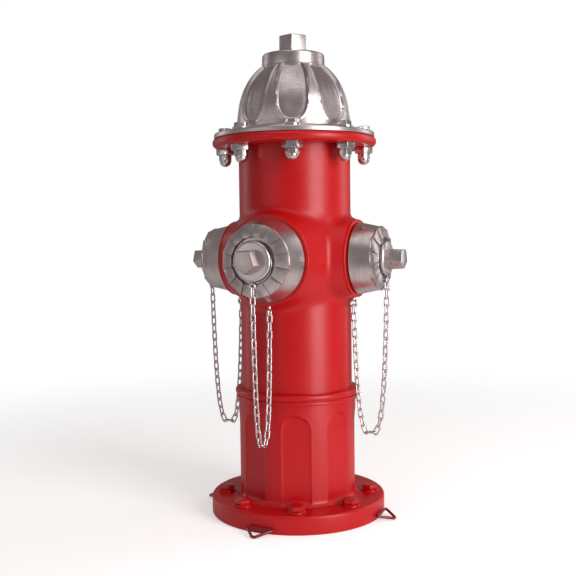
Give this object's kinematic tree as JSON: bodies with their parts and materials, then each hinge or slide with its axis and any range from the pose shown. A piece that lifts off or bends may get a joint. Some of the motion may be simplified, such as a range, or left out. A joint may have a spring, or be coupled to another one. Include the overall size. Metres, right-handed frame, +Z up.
{
  "type": "fire hydrant",
  "caption": "Dry-barrel fire hydrant: red barrel and flanges, silver fluted bonnet, turning operating nut that lifts the main valve, and unscrewing hose-outlet caps on chains.",
  "frame": {"origin": "on the ground at the barrel axis, in the foot flange's bottom face", "axes": "+Z up along the barrel; the front outlet faces -Y and the side outlets face -X and +X"},
  "size_m": [0.364, 0.3525, 0.76],
  "materials": {
    "red_enamel": "semi-gloss red enamel on cast iron",
    "silver_casting": "satin silver, fine brushing",
    "plated_fastener": "bright plated steel",
    "chain_steel": "bright plated chain",
    "brass": "machined brass",
    "gasket_sheet": "matt gasket sheet",
    "black_rubber": "matt black rubber",
    "valve_rubber": "moulded rubber",
    "cast_iron": "coated iron",
    "stem_steel": "turned steel",
    "pin_steel": "stainless pin",
    "bearing_plastic": "acetal washer",
    "red_wire": "dark red painted wire"
  },
  "bodies": {
    "hydrant": {"barrel_gasket": "gasket_sheet", "base_bolts": "red_enamel", "base_flange": "red_enamel", "base_washers": "red_enamel", "bonnet": "silver_casting", "bonnet_bolts": "plated_fastener", "bonnet_cap_nuts": "plated_fastener", "bonnet_collar": "silver_casting", "bonnet_gasket": "gasket_sheet", "bonnet_nuts": "plated_fastener", "front_chain_eye": "red_enamel", "front_nozzle": "brass", "front_nozzle_seal": "black_rubber", "joint_ring": "red_enamel", "left_chain_eye": "red_enamel", "left_nozzle": "brass", "left_nozzle_seal": "black_rubber", "lower_barrel": "red_enamel", "nut_seal": "black_rubber", "peg_loops": "red_wire", "right_chain_eye": "red_enamel", "right_nozzle": "brass", "right_nozzle_seal": "black_rubber", "seat_ring": "brass", "seat_seal": "black_rubber", "stem_guide": "brass", "thrust_washer": "bearing_plastic", "upper_barrel": "red_enamel"},
    "operating_nut": {"operating_nut": "silver_casting"},
    "stem": {"stem_upper": "stem_steel", "stem_lower": "stem_steel", "stem_coupling": "stem_steel", "coupling_pins": "pin_steel", "valve_top_plate": "cast_iron", "main_valve": "valve_rubber", "valve_bottom_plate": "cast_iron", "valve_nut": "stem_steel"},
    "front_ring": {"front_chain_ring": "plated_fastener"},
    "front_cap": {"front_cap": "silver_casting", "front_cap_gasket": "black_rubber"},
    "front_strand_outer": {"front_chain_outer": "chain_steel"},
    "front_strand_inner": {"front_chain_inner": "chain_steel"},
    "left_ring": {"left_chain_ring": "plated_fastener"},
    "left_cap": {"left_cap": "silver_casting", "left_cap_gasket": "black_rubber"},
    "left_strand_outer": {"left_chain_outer": "chain_steel"},
    "left_strand_inner": {"left_chain_inner": "chain_steel"},
    "right_ring": {"right_chain_ring": "plated_fastener"},
    "right_cap": {"right_cap": "silver_casting", "right_cap_gasket": "black_rubber"},
    "right_strand_outer": {"right_chain_outer": "chain_steel"},
    "right_strand_inner": {"right_chain_inner": "chain_steel"}
  },
  "joints": [
    {"name": "nut_turn", "type": "hinge", "parent": "hydrant", "child": "operating_nut", "pos_m": [0, 0, 0.73], "axis": [0, 0, 1], "range_deg": [0, 1800]},
    {"name": "stem_lift", "type": "slide", "parent": "hydrant", "child": "stem", "axis": [0, 0, 1], "range_m": [0, 0.03175]},
    {"name": "front_ring_slide", "type": "slide", "parent": "hydrant", "child": "front_ring", "axis": [0, -1, 0], "range_m": [0, 0.0254]},
    {"name": "front_cap_unscrew", "type": "hinge", "parent": "front_ring", "child": "front_cap", "pos_m": [0, -0.111, 0.408], "axis": [0, -1, 0], "range_deg": [0, 2160]},
    {"name": "front_outer_swing", "type": "hinge", "parent": "front_ring", "child": "front_strand_outer", "pos_m": [0, -0.1557, 0.36875], "axis": [1, 0, 0], "range_deg": [0, 3]},
    {"name": "front_inner_swing", "type": "hinge", "parent": "hydrant", "child": "front_strand_inner", "pos_m": [0, -0.099, 0.32566], "axis": [1, 0, 0], "range_deg": [-4.5, 0]},
    {"name": "left_ring_slide", "type": "slide", "parent": "hydrant", "child": "left_ring", "axis": [-1, 0, 0], "range_m": [0, 0.0271]},
    {"name": "left_cap_unscrew", "type": "hinge", "parent": "left_ring", "child": "left_cap", "pos_m": [-0.111, 0, 0.408], "axis": [-1, 0, 0], "range_deg": [0, 2880]},
    {"name": "left_outer_swing", "type": "hinge", "parent": "left_ring", "child": "left_strand_outer", "pos_m": [-0.1542, 0, 0.37225], "axis": [0, -1, 0], "range_deg": [0, 3]},
    {"name": "left_inner_swing", "type": "hinge", "parent": "hydrant", "child": "left_strand_inner", "pos_m": [-0.099, 0, 0.33433], "axis": [0, -1, 0], "range_deg": [-4.5, 0]},
    {"name": "right_ring_slide", "type": "slide", "parent": "hydrant", "child": "right_ring", "axis": [1, 0, 0], "range_m": [0, 0.0271]},
    {"name": "right_cap_unscrew", "type": "hinge", "parent": "right_ring", "child": "right_cap", "pos_m": [0.111, 0, 0.408], "axis": [1, 0, 0], "range_deg": [0, 2880]},
    {"name": "right_outer_swing", "type": "hinge", "parent": "right_ring", "child": "right_strand_outer", "pos_m": [0.1542, 0, 0.37225], "axis": [0, 1, 0], "range_deg": [0, 3]},
    {"name": "right_inner_swing", "type": "hinge", "parent": "hydrant", "child": "right_strand_inner", "pos_m": [0.099, 0, 0.33433], "axis": [0, 1, 0], "range_deg": [-4.5, 0]}
  ],
  "couplings": [
    {"joint": "nut_turn", "follows": "stem_lift", "rad_per_m": 989.48},
    {"joint": "front_ring_slide", "follows": "front_cap_unscrew", "m_per_rad": 0.00067376},
    {"joint": "front_outer_swing", "follows": "front_cap_unscrew", "ratio": 0.0013253},
    {"joint": "front_inner_swing", "follows": "front_cap_unscrew", "ratio": -0.0018087},
    {"joint": "left_ring_slide", "follows": "left_cap_unscrew", "m_per_rad": 0.000539},
    {"joint": "left_outer_swing", "follows": "left_cap_unscrew", "ratio": 0.0010013},
    {"joint": "left_inner_swing", "follows": "left_cap_unscrew", "ratio": -0.0015089},
    {"joint": "right_ring_slide", "follows": "right_cap_unscrew", "m_per_rad": 0.000539},
    {"joint": "right_outer_swing", "follows": "right_cap_unscrew", "ratio": 0.0010013},
    {"joint": "right_inner_swing", "follows": "right_cap_unscrew", "ratio": -0.0015089}
  ]
}
